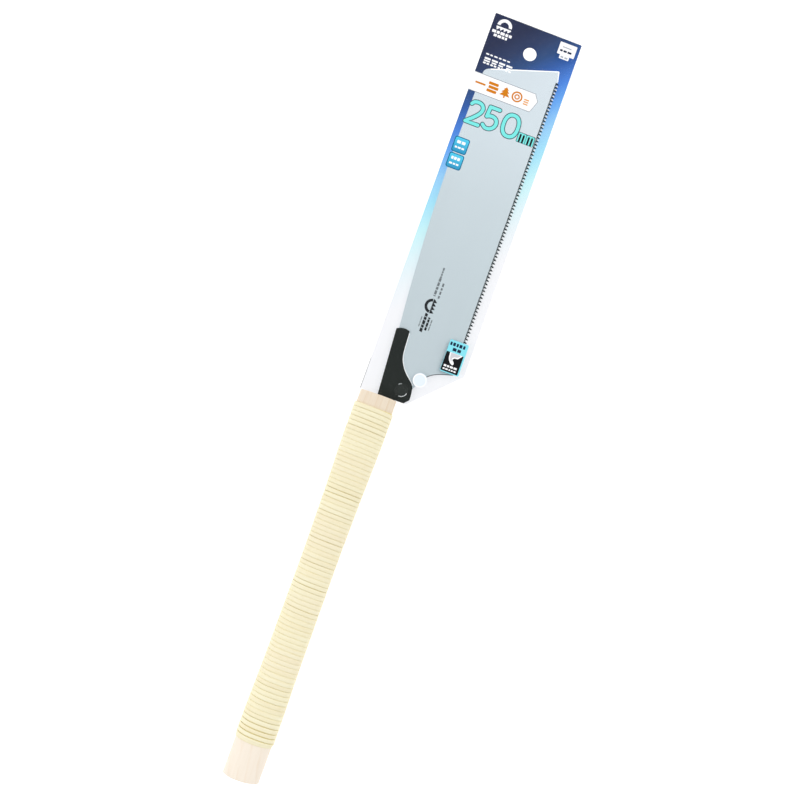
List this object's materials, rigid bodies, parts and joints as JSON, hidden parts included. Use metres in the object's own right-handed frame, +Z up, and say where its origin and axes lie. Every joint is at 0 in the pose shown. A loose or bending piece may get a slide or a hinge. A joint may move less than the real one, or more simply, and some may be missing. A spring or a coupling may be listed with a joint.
{
  "type": "pull saw",
  "caption": "Pull saw with an oval rattan-wrapped wooden handle, a folded black steel head, a thin hook-in toothed blade and a slide-off printed sleeve with a hang hole.",
  "frame": {"origin": "middle of the outline of the saw in its sleeve, on the surface it lies on", "axes": "+X along the saw from the butt towards the blade's tip, teeth towards -Y, +Z up out of the sleeve's clear face"},
  "size_m": [0.6482, 0.0764, 0.024],
  "materials": {
    "handle_wood": "bare planed softwood",
    "rattan": "split rattan, satin",
    "bare_steel": "mill finish",
    "black_steel": "satin black",
    "blade_steel": "fine brushed",
    "printed_card": "gloss print, blue to white",
    "clear_film": "clear gloss",
    "rail_plastic": "milky clear",
    "label_print": "gloss print",
    "seal_white": "gloss",
    "sticker_white": "matte"
  },
  "bodies": {
    "handle": {"handle_half_upper": "handle_wood", "handle_half_lower": "handle_wood", "rattan_wrap": "rattan", "tang_pins": "bare_steel", "tang_filler": "bare_steel", "head_shell": "black_steel", "hook_pin": "black_steel", "pin_washer_front": "black_steel", "pin_washer_back": "black_steel"},
    "blade": {"saw_blade": "blade_steel"},
    "sleeve": {"sleeve_back_card": "printed_card", "sleeve_front_film": "clear_film", "tooth_side_rail": "rail_plastic", "spine_side_rail": "rail_plastic", "tip_end_rail": "rail_plastic", "hook_diagram_label": "label_print", "round_seal": "seal_white", "price_sticker": "sticker_white"}
  },
  "joints": [
    {"name": "blade_swing", "type": "hinge", "parent": "handle", "child": "blade", "pos_m": [0.00211, 0.00631, 0.01199], "axis": [0, 0, -1], "range_deg": [0, 25]},
    {"name": "sleeve_slide", "type": "slide", "parent": "blade", "child": "sleeve", "axis": [1, 0, 0], "range_m": [0, 0.31]}
  ]
}
